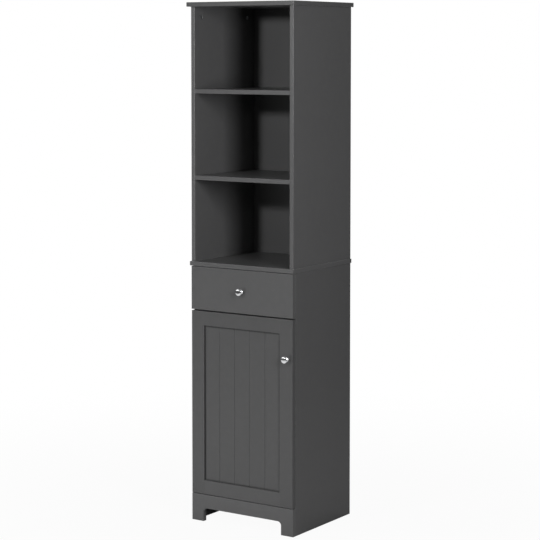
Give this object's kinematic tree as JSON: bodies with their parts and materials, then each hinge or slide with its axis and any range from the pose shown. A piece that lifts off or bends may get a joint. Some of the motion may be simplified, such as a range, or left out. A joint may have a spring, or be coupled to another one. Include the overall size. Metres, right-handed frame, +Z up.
{
  "type": "tall bathroom cabinet",
  "caption": "Tall narrow bathroom cabinet: open shelf unit above, round-knobbed drawer and framed, grooved door below, on an arched plinth.",
  "frame": {"origin": "centre of the bounding box on the floor, drawer and door closed", "axes": "+Z up, the drawer and the door face -Y, +X to the right seen from the front"},
  "size_m": [0.44, 0.39, 1.8],
  "materials": {
    "painted_board": "matt dark grey paint on board",
    "painted_hardboard": "matt dark grey hardboard",
    "bright_chrome": "polished",
    "plated_steel": "nickel plated",
    "zinc": "zinc plated",
    "coated_steel": "white powder coat",
    "nylon": "smooth white nylon",
    "bare_wood": "plain beech"
  },
  "bodies": {
    "cabinet": {"top_slab": "painted_board", "middle_slab": "painted_board", "upper_side_left": "painted_board", "upper_side_right": "painted_board", "lower_side_left": "painted_board", "lower_side_right": "painted_board", "upper_shelf": "painted_board", "lower_shelf": "painted_board", "drawer_divider": "painted_board", "bottom_panel": "painted_board", "plinth_apron": "painted_board", "cupboard_shelf": "painted_board", "upper_back_panel": "painted_hardboard", "lower_back_panel": "painted_hardboard", "hinge_arms": "plated_steel", "hinge_plates": "plated_steel", "hinge_arm_pins": "plated_steel", "shelf_pins": "plated_steel", "cam_discs": "zinc", "cam_bolts": "zinc", "wood_dowels": "bare_wood", "base_screws": "zinc", "back_nails": "zinc", "hinge_plate_screws": "zinc", "runner_cabinet_screws": "zinc", "front_roller_axles": "zinc", "runner_cabinet_left": "coated_steel", "runner_cabinet_right": "coated_steel"},
    "hinge_links": {"hinge_links": "plated_steel"},
    "door": {"door_stile_left": "painted_board", "door_stile_right": "painted_board", "door_rail_top": "painted_board", "door_rail_bottom": "painted_board", "door_panel": "painted_board", "door_knob": "bright_chrome", "door_knob_screw": "zinc", "hinge_cups": "plated_steel", "hinge_cup_pins": "plated_steel", "hinge_cup_screws": "zinc"},
    "drawer": {"drawer_front": "painted_board", "drawer_side_left": "painted_board", "drawer_side_right": "painted_board", "drawer_box_front": "painted_board", "drawer_box_back": "painted_board", "drawer_bottom": "painted_hardboard", "drawer_knob": "bright_chrome", "drawer_knob_screw": "zinc", "drawer_box_screws": "zinc", "drawer_front_screws": "zinc", "runner_drawer_left": "coated_steel", "runner_drawer_right": "coated_steel", "runner_drawer_screws": "zinc", "rear_roller_axles": "zinc"},
    "front_roller_left": {"front_roller_left": "nylon"},
    "front_roller_right": {"front_roller_right": "nylon"},
    "rear_roller_left": {"rear_roller_left": "nylon"},
    "rear_roller_right": {"rear_roller_right": "nylon"}
  },
  "joints": [
    {"name": "drawer_slide", "type": "slide", "parent": "cabinet", "child": "drawer", "axis": [0, -1, 0], "range_m": [0, 0.235]},
    {"name": "hinge_link_swing", "type": "hinge", "parent": "cabinet", "child": "hinge_links", "pos_m": [-0.1742, -0.1531, 0.4165], "axis": [0, 0, 1], "range_deg": [0, 18.2]},
    {"name": "door_swing", "type": "hinge", "parent": "hinge_links", "child": "door", "pos_m": [-0.2004, -0.1656, 0.4165], "axis": [0, 0, -1], "range_deg": [0, 116.1]},
    {"name": "front_roller_left_spin", "type": "hinge", "parent": "cabinet", "child": "front_roller_left", "pos_m": [-0.1887, -0.1405, 0.76655], "axis": [1, 0, 0], "continuous": true},
    {"name": "rear_roller_left_spin", "type": "hinge", "parent": "drawer", "child": "rear_roller_left", "pos_m": [-0.1887, 0.132, 0.76605], "axis": [1, 0, 0], "continuous": true},
    {"name": "front_roller_right_spin", "type": "hinge", "parent": "cabinet", "child": "front_roller_right", "pos_m": [0.1887, -0.1405, 0.76655], "axis": [1, 0, 0], "continuous": true},
    {"name": "rear_roller_right_spin", "type": "hinge", "parent": "drawer", "child": "rear_roller_right", "pos_m": [0.1887, 0.132, 0.76605], "axis": [1, 0, 0], "continuous": true}
  ],
  "couplings": [
    {"joint": "hinge_link_swing", "follows": "door_swing", "ratio": 0.15612},
    {"joint": "front_roller_left_spin", "follows": "drawer_slide", "rad_per_m": 90.909},
    {"joint": "rear_roller_left_spin", "follows": "drawer_slide", "rad_per_m": 105.26},
    {"joint": "front_roller_right_spin", "follows": "drawer_slide", "rad_per_m": 90.909},
    {"joint": "rear_roller_right_spin", "follows": "drawer_slide", "rad_per_m": 105.26}
  ]
}
